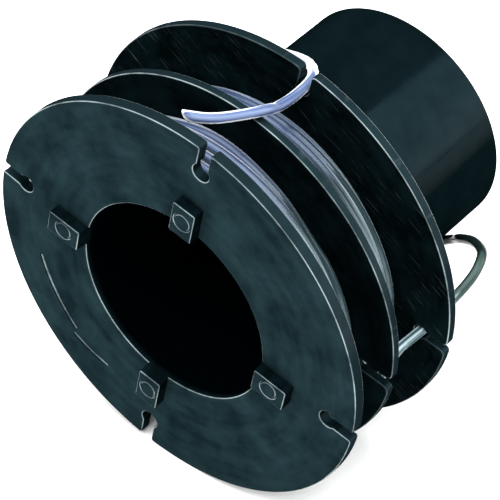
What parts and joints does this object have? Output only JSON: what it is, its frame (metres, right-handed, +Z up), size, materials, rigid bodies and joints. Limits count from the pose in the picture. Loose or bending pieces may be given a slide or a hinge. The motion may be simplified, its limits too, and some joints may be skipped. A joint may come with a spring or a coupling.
{
  "type": "trimmer line spool",
  "caption": "Trimmer line spool: thin notched flanges on a hollow hub with drive lugs and a smooth tap knob, wound with clear line whose free end loops through the notches.",
  "frame": {"origin": "on the floor, under the middle of the moulding, which lies on the rims of its two large flanges", "axes": "+Y along the spool's axis from the drive face with its lugs towards the tap knob, +Z up, +X to the right when facing the drive face"},
  "size_m": [0.086, 0.0712, 0.0865],
  "materials": {
    "black_plastic": "black moulded plastic with a satin surface, faint turning marks on the drive face and smooth gloss on the knob",
    "clear_nylon": "clear extruded nylon line, milky and slightly blue, glossy"
  },
  "bodies": {
    "root": {"spool_body": "black_plastic", "front_line_winding": "clear_nylon", "front_line_tail": "clear_nylon", "rear_line_winding": "clear_nylon", "rear_line_tail": "clear_nylon"}
  },
  "joints": []
}
